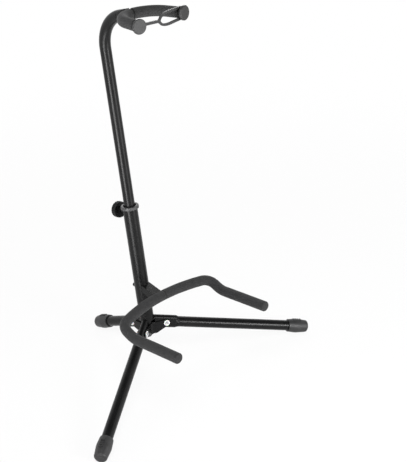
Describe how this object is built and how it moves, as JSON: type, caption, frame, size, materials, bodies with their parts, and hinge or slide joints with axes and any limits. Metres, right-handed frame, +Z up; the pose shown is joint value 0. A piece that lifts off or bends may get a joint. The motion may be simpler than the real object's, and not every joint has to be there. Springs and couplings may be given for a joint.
{
  "type": "guitar stand",
  "caption": "Tubular guitar stand with a leaning height-adjustable mast, folding tripod legs, foam-padded body yoke and a padded neck cradle with a rubber retaining strap",
  "frame": {"origin": "on the floor, under the middle of the stand's width and depth", "axes": "+Z up, -Y towards the front where the guitar rests, X across the stand"},
  "size_m": [0.5506, 0.3445, 0.6837],
  "materials": {
    "black_paint": "gloss black powder coat on steel tube and sheet",
    "foam": "matte closed-cell foam rubber",
    "rubber": "satin moulded rubber",
    "black_plastic": "moulded black plastic",
    "plated_steel": "bright zinc plating",
    "nylon": "natural white nylon"
  },
  "bodies": {
    "base": {"lower_mast_tube": "black_paint", "mast_collar": "black_plastic", "clamp_nut": "black_paint", "hub_core": "black_paint", "hub_plate_front": "black_paint", "hub_plate_left": "black_paint", "hub_plate_right": "black_paint", "leg_rivets": "plated_steel", "rivet_washers": "nylon", "yoke_bracket": "black_paint", "yoke_bolt": "black_paint", "yoke_nut": "black_paint", "yoke_bar": "black_paint", "yoke_foam_left": "foam", "yoke_foam_right": "foam"},
    "glide": {"glide_bush": "black_plastic"},
    "neck": {"upper_mast_tube": "black_paint", "neck_bar": "black_paint", "neck_foam_left": "foam", "neck_foam_right": "foam", "neck_cap_left": "rubber", "neck_cap_right": "rubber", "security_strap": "rubber"},
    "clamp": {"clamp_knob": "black_plastic", "clamp_screw": "plated_steel"},
    "left_leg": {"left_leg": "black_paint", "left_foot": "rubber"},
    "right_leg": {"right_leg": "black_paint", "right_foot": "rubber"},
    "rear_leg": {"rear_leg": "black_paint", "rear_foot": "rubber"}
  },
  "joints": [
    {"name": "height_slide", "type": "slide", "parent": "base", "child": "glide", "axis": [0, 0.1564, 0.9877], "range_m": [-0.035, 0.07]},
    {"name": "neck_swivel", "type": "hinge", "parent": "glide", "child": "neck", "pos_m": [0, 0.04408, 0.19752], "axis": [0, 0.1564, 0.9877], "continuous": true},
    {"name": "clamp_turn", "type": "hinge", "parent": "base", "child": "clamp", "pos_m": [0, 0.08698, 0.28944], "axis": [0, 0.9877, -0.1564], "continuous": true},
    {"name": "left_leg_fold", "type": "hinge", "parent": "base", "child": "left_leg", "pos_m": [-0.03031, 0.00609, 0.06952], "axis": [0.5, -0.8554, 0.1355], "range_deg": [0, 73.5]},
    {"name": "right_leg_fold", "type": "hinge", "parent": "base", "child": "right_leg", "pos_m": [0.03031, 0.00609, 0.06952], "axis": [0.5, 0.8554, -0.1355], "range_deg": [0, 73.5]},
    {"name": "rear_leg_fold", "type": "hinge", "parent": "base", "child": "rear_leg", "pos_m": [0, 0.05793, 0.06131], "axis": [-1, 0, 0], "range_deg": [0, 73.5]}
  ]
}
